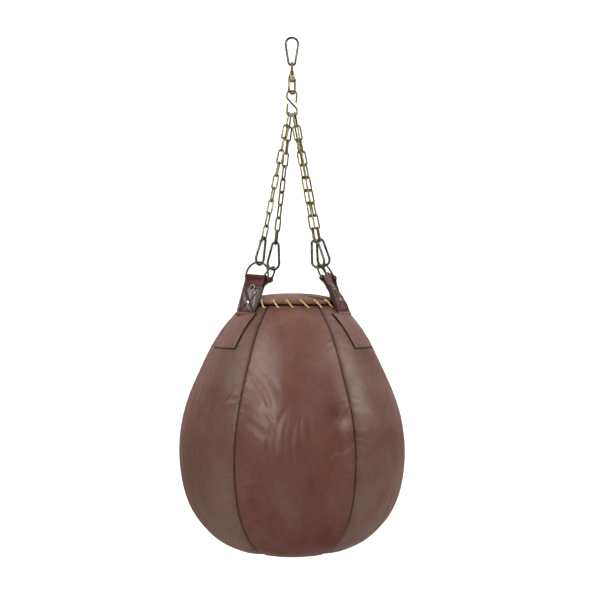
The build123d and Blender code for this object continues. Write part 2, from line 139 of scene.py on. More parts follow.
class Build:
    """Collects several pieces of surface into one mesh."""

    def __init__(self):
        self.points, self.faces, self.shade = [], [], []

    def add(self, points, faces, shade=1.0):
        start = len(self.points)
        self.points.extend(list(points))
        self.faces.extend(tuple(start + k for k in f) for f in faces)
        shade = np.asarray(shade, float)
        if shade.ndim < 2:
            shade = shade[..., None] * np.ones(3)
        self.shade.extend(np.broadcast_to(shade, (len(points), 3)))

    def tube(self, path, radius, sides=8, closed=False, shade=1.0, twist=0.0, lobes=0.0):
        path = np.asarray(path)
        n = len(path)
        if closed:
            ahead, behind = np.roll(path, -1, 0), np.roll(path, 1, 0)
        else:
            ahead = np.vstack([path[1:], path[-1:]])
            behind = np.vstack([path[:1], path[:-1]])
        tangent = ahead - behind
        tangent /= np.linalg.norm(tangent, axis=1)[:, None]
        normal = np.cross(tangent[0], [0.31, 0.17, 0.93])
        run, rings = 0.0, []
        for i in range(n):
            normal = normal - tangent[i] * normal.dot(tangent[i])
            normal = unit(normal)
            side = np.cross(tangent[i], normal)
            if i:
                run += np.linalg.norm(path[i] - path[i - 1])
            size = radius[i] if hasattr(radius, "__len__") else radius
            for k in range(sides):
                a = 2 * math.pi * k / sides
                r = size * (1 + lobes * math.cos(2 * a - twist * run))
                rings.append(path[i] + normal * (r * math.cos(a)) + side * (r * math.sin(a)))
        faces = grid_faces(n, sides, wrap_rows=closed, wrap_columns=True)
        if not closed:
            faces.append(tuple(range(sides))[::-1])
            faces.append(tuple((n - 1) * sides + k for k in range(sides)))
        self.add(rings, faces, shade)

    def lathe(self, centre, axis, profile, sides, shade=1.0):
        """profile: (radius, height) pairs along the axis, closed on the axis at both ends."""
        axis = unit(np.asarray(axis, float))
        x = unit(np.cross(axis, [0.31, 0.17, 0.93]))
        y = np.cross(axis, x)
        rings = []
        for r, h in profile:
            for k in range(sides):
                a = 2 * math.pi * k / sides
                rings.append(centre + axis * h + (x * math.cos(a) + y * math.sin(a)) * max(r, 0.01))
        self.add(rings, grid_faces(len(profile), sides, wrap_columns=True), shade)

    def stitches(self, line, normal, pitch=4.2, length=3.0, radius=0.42, lift=0.25, shade=1.0):
        """Short threads along a polyline that lies on the leather."""
        line = np.asarray(line)
        steps = np.linalg.norm(np.diff(line, axis=0), axis=1)
        run = np.concatenate([[0], np.cumsum(steps)])
        normal = np.asarray(normal)
        if normal.ndim == 1:
            normal = np.repeat(normal[None, :], len(line), 0)
        count = max(int(run[-1] / pitch), 1)
        gap = run[-1] / count
        for i in range(count):
            path = []
            for t, up in ((0, -0.9), (0.2, 0.5), (0.5, 1.0), (0.8, 0.5), (1, -0.9)):
                s = i * gap + (gap - length) / 2 + t * length
                p = np.array([np.interp(s, run, line[:, c]) for c in range(3)])
                n = np.array([np.interp(s, run, normal[:, c]) for c in range(3)])
                path.append(p + unit(n) * lift * up)
            self.tube(path, radius, sides=6, shade=shade)

    def object(self, name, material):
        return mesh_object(name, self.points, self.faces, material, attribute=self.shade)


# ======================= materials =======================
def new_material(name):
    material = bpy.data.materials.new(name)
    material.use_nodes = True
    tree = material.node_tree
    tree.nodes.clear()
    output = tree.nodes.new("ShaderNodeOutputMaterial")
    shader = tree.nodes.new("ShaderNodeBsdfPrincipled")
    tree.links.new(shader.outputs[0], output.inputs[0])
    return material, tree, shader


def noise(tree, scale, detail=3.0, rough=0.55, stretch=None, distortion=0.0):
    coords = tree.nodes.new("ShaderNodeTexCoord")
    source = coords.outputs["Object"]
    if stretch:
        mapping = tree.nodes.new("ShaderNodeMapping")
        mapping.inputs["Scale"].default_value = stretch
        tree.links.new(source, mapping.inputs["Vector"])
        source = mapping.outputs[0]
    node = tree.nodes.new("ShaderNodeTexNoise")
    node.inputs["Scale"].default_value = scale
    node.inputs["Detail"].default_value = detail
    node.inputs["Roughness"].default_value = rough
    node.inputs["Distortion"].default_value = distortion
    tree.links.new(source, node.inputs["Vector"])
    return node.outputs[0]


def ramp(tree, value, stops):
    node = tree.nodes.new("ShaderNodeValToRGB")
    node.color_ramp.elements.remove(node.color_ramp.elements[1])
    for i, (place, colour) in enumerate(stops):
        if i == 0:
            element = node.color_ramp.elements[0]
            element.position = place
        else:
            element = node.color_ramp.elements.new(place)
        if not hasattr(colour, "__len__"):
            colour = (colour, colour, colour)
        element.color = (*colour, 1)
    tree.links.new(value, node.inputs[0])
    return node.outputs[0]


def mix(tree, factor, a, b, mode="MIX"):
    node = tree.nodes.new("ShaderNodeMix")
    node.data_type = "RGBA"
    node.blend_type = mode
    for value, socket in ((factor, node.inputs[0]), (a, node.inputs[6]), (b, node.inputs[7])):
        if hasattr(value, "is_output"):
            tree.links.new(value, socket)
        elif hasattr(value, "__len__"):
            socket.default_value = (*value, 1)
        else:
            socket.default_value = value
    return node.outputs[2]


def bumps(tree, layers, *shaders):
    """layers: (height output, distance in metres, strength)."""
    last = None
    for height, distance, strength in layers:
        node = tree.nodes.new("ShaderNodeBump")
        node.inputs["Distance"].default_value = distance
        node.inputs["Strength"].default_value = strength
        tree.links.new(height, node.inputs["Height"])
        if last:
            tree.links.new(last, node.inputs["Normal"])
        last = node.outputs[0]
    for shader in shaders:
        tree.links.new(last, shader.inputs["Normal"])


def soft_area(tree, centre, reach, strength):
    """A factor that is strength round the centre and fades to nothing at the reach, both in metres."""
    coords = tree.nodes.new("ShaderNodeTexCoord")
    away = tree.nodes.new("ShaderNodeVectorMath")
    away.operation = "SUBTRACT"
    away.inputs[1].default_value = centre
    tree.links.new(coords.outputs["Object"], away.inputs[0])
    scaled = tree.nodes.new("ShaderNodeVectorMath")
    scaled.operation = "DIVIDE"
    scaled.inputs[1].default_value = reach
    tree.links.new(away.outputs[0], scaled.inputs[0])
    size = tree.nodes.new("ShaderNodeVectorMath")
    size.operation = "LENGTH"
    tree.links.new(scaled.outputs[0], size.inputs[0])
    return ramp(tree, size.outputs["Value"], [(0.2, strength), (0.6, strength * 0.45), (1.0, 0.0)])


def shade_attribute(tree):
    node = tree.nodes.new("ShaderNodeAttribute")
    node.attribute_name = "shade"
    return node.outputs["Color"]


GRAIN_BUMP, WRINKLE_BUMP = 0.3, 0.36


def leather(name, dark, mid, light, rough=(0.3, 0.44), shine=(0.004, 0.04), tint_and_painted_light_areas=()):
    """A thin uneven sheen over a matt hide, with tinted patches, each (centre, reach, tint, strength); most
    of these patches are painted shade or painted highlights.
    """
    material, tree, shader = new_material(name)
    blotch = noise(tree, 7.0, 5.0, 0.62, distortion=0.8)
    colour = ramp(tree, blotch, [(0.3, dark), (0.5, mid), (0.7, light)])
    # lay the tinted patches over the colour: painted shade, painted highlights and tone
    for centre, reach, tint, strength in tint_and_painted_light_areas:
        colour = mix(tree, soft_area(tree, centre, reach, strength), colour, tint)
    fine = ramp(tree, noise(tree, 130.0, 4.0, 0.7), [(0.3, 0.86), (0.7, 1.08)])
    colour = mix(tree, 1.0, colour, fine, "MULTIPLY")
    colour = mix(tree, 1.0, colour, shade_attribute(tree), "MULTIPLY")
    tree.links.new(colour, shader.inputs["Base Color"])
    shader.inputs["Roughness"].default_value = 0.7
    shader.inputs["Specular IOR Level"].default_value = 0.06
    gloss = tree.nodes.new("ShaderNodeBsdfGlossy")
    patchy = ramp(tree, noise(tree, 18.0, 3.0, 0.6), [(0.3, rough[0]), (0.7, rough[1])])
    tree.links.new(patchy, gloss.inputs["Roughness"])
    tree.links.new(shade_attribute(tree), gloss.inputs["Color"])
    both = tree.nodes.new("ShaderNodeMixShader")
    worn = noise(tree, 11.0, 4.0, 0.6, stretch=(1, 1, 0.45))
    tree.links.new(ramp(tree, worn, [(0.3, shine[0]), (0.7, shine[1])]), both.inputs[0])
    tree.links.new(shader.outputs[0], both.inputs[1])
    tree.links.new(gloss.outputs[0], both.inputs[2])
    output = next(n for n in tree.nodes if n.type == "OUTPUT_MATERIAL")
    tree.links.new(both.outputs[0], output.inputs[0])
    cells = tree.nodes.new("ShaderNodeTexVoronoi")
    cells.inputs["Scale"].default_value = 650.0
    coords = tree.nodes.new("ShaderNodeTexCoord")
    tree.links.new(coords.outputs["Object"], cells.inputs["Vector"])
    soft = noise(tree, 38.0, 4.0, 0.55, stretch=(1, 1, 0.4), distortion=1.0)
    layers = [(soft, 0.0016, WRINKLE_BUMP), (cells.outputs["Distance"], 0.0004, GRAIN_BUMP)]
    bumps(tree, layers, shader, gloss)
    return material


def metal(name, dark, light, rough=(0.28, 0.5), scale=90.0, bump=0.15, edge=(0.3, 0.29, 0.25)):
    material, tree, shader = new_material(name)
    colour = ramp(tree, noise(tree, scale, 5.0, 0.65), [(0.32, dark), (0.66, light)])
    tree.links.new(colour, shader.inputs["Base Color"])
    shader.inputs["Metallic"].default_value = 1.0
    shader.inputs["Specular Tint"].default_value = (*edge, 1)
    wear = ramp(tree, noise(tree, scale * 2.2, 4.0, 0.6), [(0.3, rough[0]), (0.7, rough[1])])
    tree.links.new(wear, shader.inputs["Roughness"])
    bumps(tree, [(noise(tree, scale * 6, 3.0), 0.0003, bump)], shader)
    return material


def shaded_metal(name, dark, light, **more):
    """Metal whose colour is also scaled by the mesh's own shade."""
    material = metal(name, dark, light, **more)
    tree = material.node_tree
    shader = next(n for n in tree.nodes if n.type == "BSDF_PRINCIPLED")
    plain = shader.inputs["Base Color"].links[0].from_socket
    colour = mix(tree, 1.0, plain, shade_attribute(tree), "MULTIPLY")
    tree.links.new(colour, shader.inputs["Base Color"])
    return material


def cloth(name, a, b, scale=300.0, rough=0.85, bump=0.5):
    material, tree, shader = new_material(name)
    colour = ramp(tree, noise(tree, scale, 3.0), [(0.35, a), (0.65, b)])
    tree.links.new(colour, shader.inputs["Base Color"])
    shader.inputs["Roughness"].default_value = rough
    bumps(tree, [(noise(tree, scale * 2, 4.0), 0.0006, bump)], shader)
    return material


SIDE_LEATHER = leather(
    "side_leather",
    (0.1, 0.044, 0.033),
    (0.135, 0.064, 0.049),
    (0.175, 0.09, 0.071),
    tint_and_painted_light_areas=[
        # painted shade: darker and redder towards the bottom
        ((0, 0, -1.05), (0.5, 0.5, 0.4), (0.085, 0.029, 0.011), 1.0),
        # painted shade on the lower left side
        ((-0.2, -0.1, -0.9), (0.13, 0.25, 0.2), (0.075, 0.029, 0.015), 0.6),
    ],
)
FRONT_LEATHER = leather(
    "front_leather",
    (0.11, 0.042, 0.027),
    (0.138, 0.055, 0.036),
    (0.175, 0.08, 0.056),
    tint_and_painted_light_areas=[
        # painted shade: darker and redder towards the bottom
        ((0, -0.12, -1.0), (0.45, 0.5, 0.3), (0.08, 0.012, 0.004), 1.0),
        ((0.01, -0.2, -0.71), (0.11, 0.2, 0.09), (0.105, 0.026, 0.014), 0.75),
        # painted highlight: a greyish streak on the left third of the panel
        ((-0.058, -0.2, -0.645), (0.04, 0.2, 0.13), (0.3, 0.2, 0.18), 0.45),
        # painted shade in the dent on the right
        ((0.072, -0.2, -0.728), (0.024, 0.2, 0.034), (0.06, 0.015, 0.009), 0.6),
        # painted highlight beside that dent
        ((0.09, -0.2, -0.748), (0.022, 0.2, 0.018), (0.32, 0.22, 0.19), 0.4),
    ],
)
PATCH_LEATHER = leather("patch_leather", (0.13, 0.06, 0.046), (0.17, 0.083, 0.066), (0.21, 0.11, 0.092))
STRAP_LEATHER = leather(
    "strap_leather",
    (0.055, 0.02, 0.017),
    (0.075, 0.03, 0.026),
    (0.105, 0.05, 0.044),
    rough=(0.28, 0.4),
    shine=(0.025, 0.11),
)
# painted light: a lighter, browner copy of the strap leather for the right-hand straps, standing in for the
# light that falls on them
LIT_BROWN_STRAP = leather(
    "lit_brown_strap_leather",
    (0.075, 0.028, 0.019),
    (0.1, 0.04, 0.027),
    (0.135, 0.06, 0.042),
)
WELT_LEATHER = leather("welt_leather", (0.12, 0.032, 0.026), (0.16, 0.044, 0.036), (0.19, 0.07, 0.055))
BROWN_WELT = leather(
    "brown_welt_leather",
    (0.11, 0.045, 0.029),
    (0.15, 0.064, 0.042),
    (0.2, 0.1, 0.072),
    shine=(0.01, 0.06),
)
LID_LEATHER = leather("lid_leather", (0.14, 0.064, 0.042), (0.19, 0.094, 0.06), (0.25, 0.135, 0.095))
THREAD = cloth("dark_thread", (0.012, 0.005, 0.004), (0.03, 0.012, 0.009), 900.0, 0.6)
PATCH_THREAD = cloth("brown_thread", (0.06, 0.022, 0.016), (0.1, 0.04, 0.03), 900.0, 0.6)
LACE = cloth("gold_lace", (0.4, 0.25, 0.07), (0.72, 0.52, 0.2), 500.0, 0.55, 0.4)
ZINC = metal("yellow_zinc", (0.05, 0.043, 0.018), (0.3, 0.27, 0.13), rough=(0.22, 0.38))
BRONZE = metal("bronze_wire", (0.035, 0.032, 0.02), (0.17, 0.16, 0.1), rough=(0.22, 0.38))
DARK_STEEL = metal("dark_steel", (0.03, 0.027, 0.022), (0.17, 0.155, 0.125), rough=(0.22, 0.38))
RIVET = shaded_metal("rivet_steel", (0.3, 0.28, 0.27), (0.7, 0.68, 0.66), rough=(0.15, 0.3))
CANVAS = cloth("canvas", (0.42, 0.38, 0.29), (0.56, 0.51, 0.4), 400.0)
FOAM = cloth("foam", (0.5, 0.5, 0.46), (0.62, 0.62, 0.58), 250.0)
TEXTILE = cloth("textile", (0.2, 0.19, 0.2), (0.42, 0.38, 0.34), 60.0)

# ======================= stuffed body =======================
_r, _h = np.array(BODY_PROFILE, float).T
_run = np.concatenate([[0], np.cumsum(np.hypot(np.diff(_r), np.diff(_h)))])


def natural_spline(x, y):
    """Second derivatives of the natural cubic spline through the points."""
    n = len(x)
    a, b = np.zeros((n, n)), np.zeros(n)
    a[0, 0] = a[-1, -1] = 1
    for i in range(1, n - 1):
        h0, h1 = x[i] - x[i - 1], x[i + 1] - x[i]
        a[i, i - 1 : i + 2] = h0, 2 * (h0 + h1), h1
        b[i] = 6 * ((y[i + 1] - y[i]) / h1 - (y[i] - y[i - 1]) / h0)
    return np.linalg.solve(a, b)


_mr, _mh = natural_spline(_run, _r), natural_spline(_run, _h)


def spline_at(x, y, m, t):
    i = np.clip(np.searchsorted(x, t) - 1, 0, len(x) - 2)
    h = x[i + 1] - x[i]
    a, b = (x[i + 1] - t) / h, (t - x[i]) / h
    return a * y[i] + b * y[i + 1] + ((a**3 - a) * m[i] + (b**3 - b) * m[i + 1]) * h * h / 6


def outline(run):
    """(radius, height, normal's outward part, normal's upward part) at a run along the outline."""
    run = np.asarray(run, float)
    r, h = spline_at(_run, _r, _mr, run), spline_at(_run, _h, _mh, run)
    step = 0.5
    r1, h1 = spline_at(_run, _r, _mr, run + step), spline_at(_run, _h, _mh, run + step)
    r0, h0 = spline_at(_run, _r, _mr, run - step), spline_at(_run, _h, _mh, run - step)
    size = np.hypot(r1 - r0, h1 - h0)
    return r, h, (h1 - h0) / size, -(r1 - r0) / size


RUN_END = _run[-1]
_table = np.linspace(0, RUN_END, 800)
_table_h = outline(_table)[1]


def run_at_height(h):
    return np.interp(h, _table_h, _table)


def surface(azimuth, run, lift):
    """Points (…, 3) on the outline of revolution, lifted off it along its normal."""
    azimuth, run, lift = np.broadcast_arrays(azimuth, run, lift)
    r, h, nr, nh = outline(run)
    r = r + nr * lift
    a = np.radians(azimuth)
    z = BODY_BOTTOM_Z + h + nh * lift
    return np.stack([r * np.sin(a), -r * np.cos(a), z], axis=-1)


def crease(x, y, cx, cy, angle, length, width, depth):
    """A soft crease: a narrow dip with a ridge at each side."""
    a = math.radians(angle)
    along = (x - cx) * math.cos(a) + (y - cy) * math.sin(a)
    bend = 0.0006 * along**2
    across = -(x - cx) * math.sin(a) + (y - cy) * math.cos(a) + bend * width
    fade = np.exp(-((along / length) ** 4))
    q = across / width
    return -depth * fade * (1 - 0.9 * q * q) * np.exp(-q * q / 1.6)


def wandering(seed, count, low, high):
    rng = random.Random(seed)
    return [(rng.uniform(low, high), rng.uniform(0, 6.283), rng.uniform(0.5, 1)) for _ in range(count)]


# across from the panel's middle, run, angle (degrees), half length, width, depth
FRONT_CREASES = [
    (84, 300, 75, 34, 8, 3.4),
    (96, 268, 40, 20, 6, 3.0),
    (74, 262, 20, 16, 5, 2.2),
    (62, 246, 8, 22, 6, 1.1),
    (-58, 372, -62, 34, 7, 1.7),
    (-44, 398, -55, 26, 6, 1.1),
    (-50, 330, -50, 20, 5, 1.3),
    (-70, 305, -35, 24, 7, 1.4),
    (-48, 286, 80, 34, 6, 1.0),
    (-34, 300, 78, 40, 6, 1.1),
    (-20, 292, 86, 36, 5, 0.9),
    (-8, 288, 84, 46, 6, 1.1),
    (16, 300, 96, 30, 6, 0.8),
    (-86, 176, 22, 18, 5, 1.3),
    (-80, 205, 10, 20, 6, 0.9),
]


SEAM_FLOOR = -2.1  # stays above the liner


def gore_lift(index, x, run, half_width, edge):
    """How far the leather stands off the outline. x is across, edge the distance to the nearer seam."""
    u = x / half_width
    lift = 1.9 * (1 - u**2) - 0.4
    lift = lift - 2.3 * np.exp(-((edge / 2.4) ** 1.5))
    rng = random.Random(40 + index)
    sides = np.where(x > 0, 1.0, -1.0)
    for wave, phase, size in wandering(100 + index, 9, 0.16, 0.5):
        slant = rng.uniform(0.1, 0.5)
        side = rng.choice((-1, 1))
        pull = np.sin(wave * (run + slant * edge) + phase)
        patchy = 0.5 + 0.5 * np.sin(run * rng.uniform(0.012, 0.03) + rng.uniform(0, 6))
        near = np.exp(-edge / (7 + 3.0 / wave)) * (1 - np.exp(-edge / 2.0))
        lift = lift + 0.46 * size * pull * patchy * near * (sides == side)
    for k in range(4):
        fx, fy = rng.uniform(0.01, 0.03), rng.uniform(0.006, 0.02)
        lift = lift + 0.45 * np.sin(fx * x + rng.uniform(0, 6)) * np.sin(fy * run + rng.uniform(0, 6))
    if index == 0:
        for item in FRONT_CREASES:
            lift = lift + crease(x, run, *item)
    else:
        for _ in range(16):
            cx = rng.uniform(-0.85, 0.85) * 105
            cy = rng.uniform(60, 520)
            tilt = rng.choice((90, 90, 70, 110, 40, 130)) + rng.uniform(-14, 14)
            size = rng.uniform(16, 44)
            lift = lift + crease(x, run, cx, cy, tilt, size, rng.uniform(5, 9), rng.uniform(0.6, 1.5))
    # the hem at the flat bottom and the roll at the rim
    lift = lift - 2.2 * np.exp(-((run / 2.6) ** 1.5))
    lift = lift - 1.0 * np.exp(-(((RUN_END - run) / 3.0) ** 2))
    return np.maximum(lift, SEAM_FLOOR)


ACROSS = 84
ALONG = 250
FOLD_DEPTH = -2.4


def gore(index):
    t = np.linspace(-1, 1, ACROSS)
    u = np.sign(t) * (1 - (1 - np.abs(t)) ** 1.35)
    s = np.linspace(0, 1, ALONG)
    run = RUN_END * (0.5 - 0.5 * np.cos(math.pi * s)) * 0.45 + RUN_END * s * 0.55
    half = math.radians(180 / GORES)
    uu, rr = np.meshgrid(u, run)
    r = outline(rr)[0]
    half_width = r * half
    x = uu * half_width
    edge = (1 - np.abs(uu)) * half_width
    lift = gore_lift(index, x, rr, half_width, edge)
    place = index * 360 / GORES
    inset = np.degrees(0.06 / r)
    azimuth = place + np.clip(uu * 180 / GORES, -180 / GORES + inset, 180 / GORES - inset)
    points = surface(azimuth, rr, lift)
    # painted shade: a dark line in each seam's groove with a softer darkening beside it, darker at the hem
    # at the bottom and towards the rim under the lid
    shade = 1 - 0.86 * np.exp(-((edge / 1.15) ** 2))
    shade = shade * (1 - 0.16 * np.exp(-edge / 7))
    shade = shade * (1 - 0.7 * np.exp(-((rr / 1.4) ** 2)))
    shade = shade * (1 - 0.25 * np.exp(-((RUN_END - rr) / 7.0)))
    # seam allowance, folded in under the edge
    fold = []
    for column in (0, -1):
        deep = surface(azimuth[:, column], run, FOLD_DEPTH)
        fold.append(deep)
    points = np.concatenate([fold[0][:, None], points, fold[1][:, None]], axis=1)
    # painted shade: the folded seam allowance is kept dark
    dark = np.full((ALONG, 1), 0.12)
    shade = np.concatenate([dark, shade, dark], axis=1)
    # hem under the bottom disc, and the flange inside the rim
    a = np.radians(np.concatenate([azimuth[:, :1], azimuth, azimuth[:, -1:]], axis=1))
    # painted shade: the hem and the flange are kept dark
    rows_low, rows_high, shade_low, shade_high = [], [], [], []
    for radius, height in ((100.0, 2.6), (105.5, 2.2)):
        angle = a[0]
        z = np.full_like(angle, BODY_BOTTOM_Z + height)
        rows_low.append(np.stack([radius * np.sin(angle), -radius * np.cos(angle), z], -1))
        shade_low.append(np.full_like(angle, 0.2))
    for radius, drop in ((94.5, 0.0), (90.0, 0.4), (85.5, 0.9)):
        angle = a[-1]
        z = np.full_like(angle, RIM_Z - drop)
        rows_high.append(np.stack([radius * np.sin(angle), -radius * np.cos(angle), z], -1))
        shade_high.append(np.full_like(angle, 0.15))
    points = np.concatenate([np.array(rows_low), points, np.array(rows_high)])
    shade = np.concatenate([np.array(shade_low), shade, np.array(shade_high)])
    rows, columns = points.shape[:2]
    material = FRONT_LEATHER if index == 0 else SIDE_LEATHER
    obj = mesh_object(
        f"leather_gore_{index + 1}",
        points.reshape(-1, 3),
        grid_faces(rows, columns),
        material,
        attribute=shade.ravel(),
    )
    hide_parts(f"gore_panel_{index + 1}")
    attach(obj, "bag")


for i in range(GORES):
    gore(i)

# ---- flat bottom disc, sewn in
bottom = Build()
DISC_SIDES = 120
DISC_EDGE_R = 101  # the dark turned edge starts here
disc_rows = [(0.01, -0.6), (30, -0.5), (60, -0.3), (85, -0.1)]
disc_rows += [(97, 0.1), (102, 0.5), (104.6, 1.4), (105.4, 2.4)]
disc_points, disc_shade = [], []
for radius, height in disc_rows:
    for k in range(DISC_SIDES):
        az = 360 * k / DISC_SIDES
        ripple = 0.35 * math.sin(az * 0.35) * (radius > 60)
        disc_points.append(polar(az, radius, BODY_BOTTOM_Z + 0.6 + height + ripple * 0.4))
        disc_shade.append(1.0 if radius < DISC_EDGE_R else 0.3)
bottom.add(disc_points, grid_faces(len(disc_rows), DISC_SIDES, wrap_columns=True, flip=True), disc_shade)
bottom = bottom.object("leather_bottom", SIDE_LEATHER)
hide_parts("bottom_disc")
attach(bottom, "bag")

# ======================= lid =======================
LID_SIDES = 264
LID_ROWS = [  # radius, z
    (0.01, -508.2),
    (14, -508.3),
    (28, -508.9),
    (42, -510.1),
    (54, -511.7),
    (64, -513.3),
    (73, -515.0),
    (80, -516.5),
    (86, -517.9),
    (90.5, -519.3),
    (93.6, -520.9),
    (95.3, -522.4),
    (96.0, -524.0),
    (96.0, -526.0),
    (95.6, -528.0),
    (95.0, -529.4),
    (93.8, -530.6),
    (92.0, -531.6),
    (90.6, -532.8),
    (88.5, -533.9),
]


def lid_point(azimuth, radius, z):
    pitch = 360 / LACES
    toward = math.cos(math.radians(((azimuth - LACE_TURN) % pitch) / pitch * 360))
    rim = min(max((radius - 60) / 36, 0), 1)
    pull = (0.5 + 0.5 * toward) ** 3
    low = min(max((-514 - z) / 10, 0), 1)
    radius -= 1.3 * pull * low * rim
    z -= 1.1 * pull * rim * (1 - 0.5 * low)
    z += 0.8 * math.sin(math.radians(azimuth * 3 + 40)) * rim * (1 - low)
    z += 0.5 * math.sin(math.radians(azimuth * 7 + 130)) * rim * (1 - low)
    fold = lid_fold(azimuth, z)
    radius -= (2.6 * fold - 0.9 * lid_fold(azimuth, z - 3.6)) * rim
    z -= 1.2 * fold * rim
    return polar(azimuth, radius, z)


def lid_fold(azimuth, z):
    """How deep in the fold that runs down the lid's wall towards the front right strap, from 0 to 1."""
    along = min(max((azimuth - 16) / 10, 0), 1) * min(max((66 - azimuth) / 8, 0), 1)
    line = -511.5 - 0.52 * (azimuth - 21)
    return along * math.exp(-(((z - line) / 1.7) ** 2))


lid_rows = []
for (r0, z0), (r1, z1) in zip(LID_ROWS, LID_ROWS[1:]):
    for t in (0, 0.25, 0.5, 0.75):
        lid_rows.append((r0 + (r1 - r0) * t, z0 + (z1 - z0) * t))
lid_rows.append(LID_ROWS[-1])
lid = Build()
lid_points = [lid_point(360 * k / LID_SIDES, r, z) for r, z in lid_rows for k in range(LID_SIDES)]
# painted shade: the lid darkens towards its lower edge and the gap under it, and in the fold
lid_shade = []
for r, z in lid_rows:
    for k in range(LID_SIDES):
        fold = lid_fold(360 * k / LID_SIDES, z)
        lid_shade.append(min(max((z + 531.5) / 4, 0.08), 1.0) * (1 - 0.85 * fold))
lid.add(lid_points, grid_faces(len(lid_rows), LID_SIDES, wrap_columns=True), lid_shade)
lid = lid.object("leather_lid", LID_LEATHER)
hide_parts("top_cap")
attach(lid, "bag")

# ======================= lacing =======================
def smooth_closed(points, steps):
    """A closed Catmull-Rom curve through the points."""
    points = np.asarray(points)
    found = []
    for i in range(len(points)):
        p0, p1, p2, p3 = (points[(i + k) % len(points)] for k in (-1, 0, 1, 2))
        for k in range(steps):
            t = k / steps
            found.append(
                0.5
                * (
                    2 * p1
                    + (p2 - p0) * t
                    + (2 * p0 - 5 * p1 + 4 * p2 - p3) * t * t
                    + (3 * p1 - p0 - 3 * p2 + p3) * t**3
                )
            )
    return np.array(found)


lace_rng = random.Random(7)
lace_points = []
for i in range(LACES):
    pitch = 360 / LACES
    here = i * pitch + LACE_TURN
    inside = CAP_R - 5.5
    low_r = float(outline(run_at_height(LACE_LOW_Z - BODY_BOTTOM_Z))[0]) + 1.3
    lean = LACE_LEAN + lace_rng.uniform(-0.04, 0.04)
    high_z = LACE_HIGH_Z + lace_rng.uniform(-0.7, 0.7)
    lace_points += [
        polar(here - 0.1 * pitch, inside, high_z),
        polar(here + 0.01 * pitch, CAP_R + 0.4, high_z + 0.4),
        polar(here + lean * pitch * 0.5, (CAP_R + low_r) / 2 + 1.2, (high_z + LACE_LOW_Z) / 2),
        polar(here + lean * pitch, low_r, LACE_LOW_Z),
        polar(here + (lean + 0.1) * pitch, inside, LACE_LOW_Z - 1.4),
    ]
lace = Build()
lace.tube(smooth_closed(lace_points, 9), LACE_R, sides=10, closed=True, twist=1.1, lobes=0.14)
for i in range(LACES):
    here = i * 360 / LACES + LACE_TURN
    low = here + LACE_LEAN * 360 / LACES
    # the eyelet in the lid, and the thickening where the cord goes into the body
    eye = []
    for k in range(12):
        turn = k * math.pi / 6
        place = here - 1.3 + 1.35 * math.sin(turn)
        eye.append(polar(place, CAP_R + 0.7, LACE_HIGH_Z + 1.4 + 2.2 * math.cos(turn)))
    lace.tube(eye, 0.55, sides=6, closed=True)
    foot = [
        polar(low + t, low_r + 0.35 - 0.16 * abs(t), LACE_LOW_Z - 0.6 + 0.12 * t)
        for t in np.linspace(-1.4, 2.2, 7)
    ]
    lace.tube(foot, [0.6, 0.95, 1.05, 1.05, 1.0, 0.9, 0.5], sides=8)
lace = lace.object("gold_lacing", LACE)
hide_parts("lacing_cord")
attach(lace, "bag")


# ======================= straps, patches and rivets =======================
def strap_frames(name):
    """The strap's foot, knee and ring bar, and the directions across it at its foot and at the bar."""
    (place, foot_facing, facing), (foot_rz, knee_rz), (bar, ring_top) = STRAPS[name]
    bar, ring_top = np.array(bar), np.array(ring_top)
    foot, knee = polar(place, *foot_rz), polar(place, *knee_rz)
    a = math.radians(facing)
    to_bar = unit(bar - ring_top)
    across_high = np.array([math.cos(a), math.sin(a), 0])
    across_high = unit(across_high - to_bar * across_high.dot(to_bar))
    a = math.radians(foot_facing)
    across_low = np.array([math.cos(a), math.sin(a), 0])
    return foot, knee, bar, across_low, across_high


def bezier(p0, p1, p2, t):
    return p0 * (1 - t) ** 2 + p1 * 2 * t * (1 - t) + p2 * t * t


def strip_section(centre, across, out, width, lifts):
    """A ply's section: one point of its outer face for every lift, round edges and a plain inner face."""
    half, h, corner = width / 2, STRAP_PLY / 2, 1.2
    flat = half - corner
    xs = np.linspace(-flat, flat, len(lifts))
    ring = [centre + across * x + out * (h + lift) for x, lift in zip(xs, lifts)]
    for side, angles in ((1, (60, 30, 0, -30, -60, -90)), (-1, (-90, -60, -30, 0, 30, 60))):
        for angle in angles:
            a = math.radians(angle)
            y = (h - corner) * (1 if angle > 0 else -1 if angle < 0 else 0) + corner * math.sin(a)
            ring.append(centre + across * (side * (flat + corner * math.cos(a))) + out * y)
    return ring


def segment_distance(x, y, ends):
    (x0, y0), (x1, y1) = ends
    dx, dy = x1 - x0, y1 - y0
    t = np.clip(((x - x0) * dx + (y - y0) * dy) / (dx * dx + dy * dy), 0, 1)
    return np.hypot(x - x0 - t * dx, y - y0 - t * dy)


PAD_LOW, PAD_HIGH = 0.13, 0.88  # the stitched pad, as shares of the strap's length
BOX_HALF = STRAP_W / 2 - 4.5
STRAP_STEPS = 64
FACE_POINTS = 29
LATHE_SIDES = 28
BAND_TINT = np.array([0.42, 0.19, 0.19])  # of the dark red band above the pad


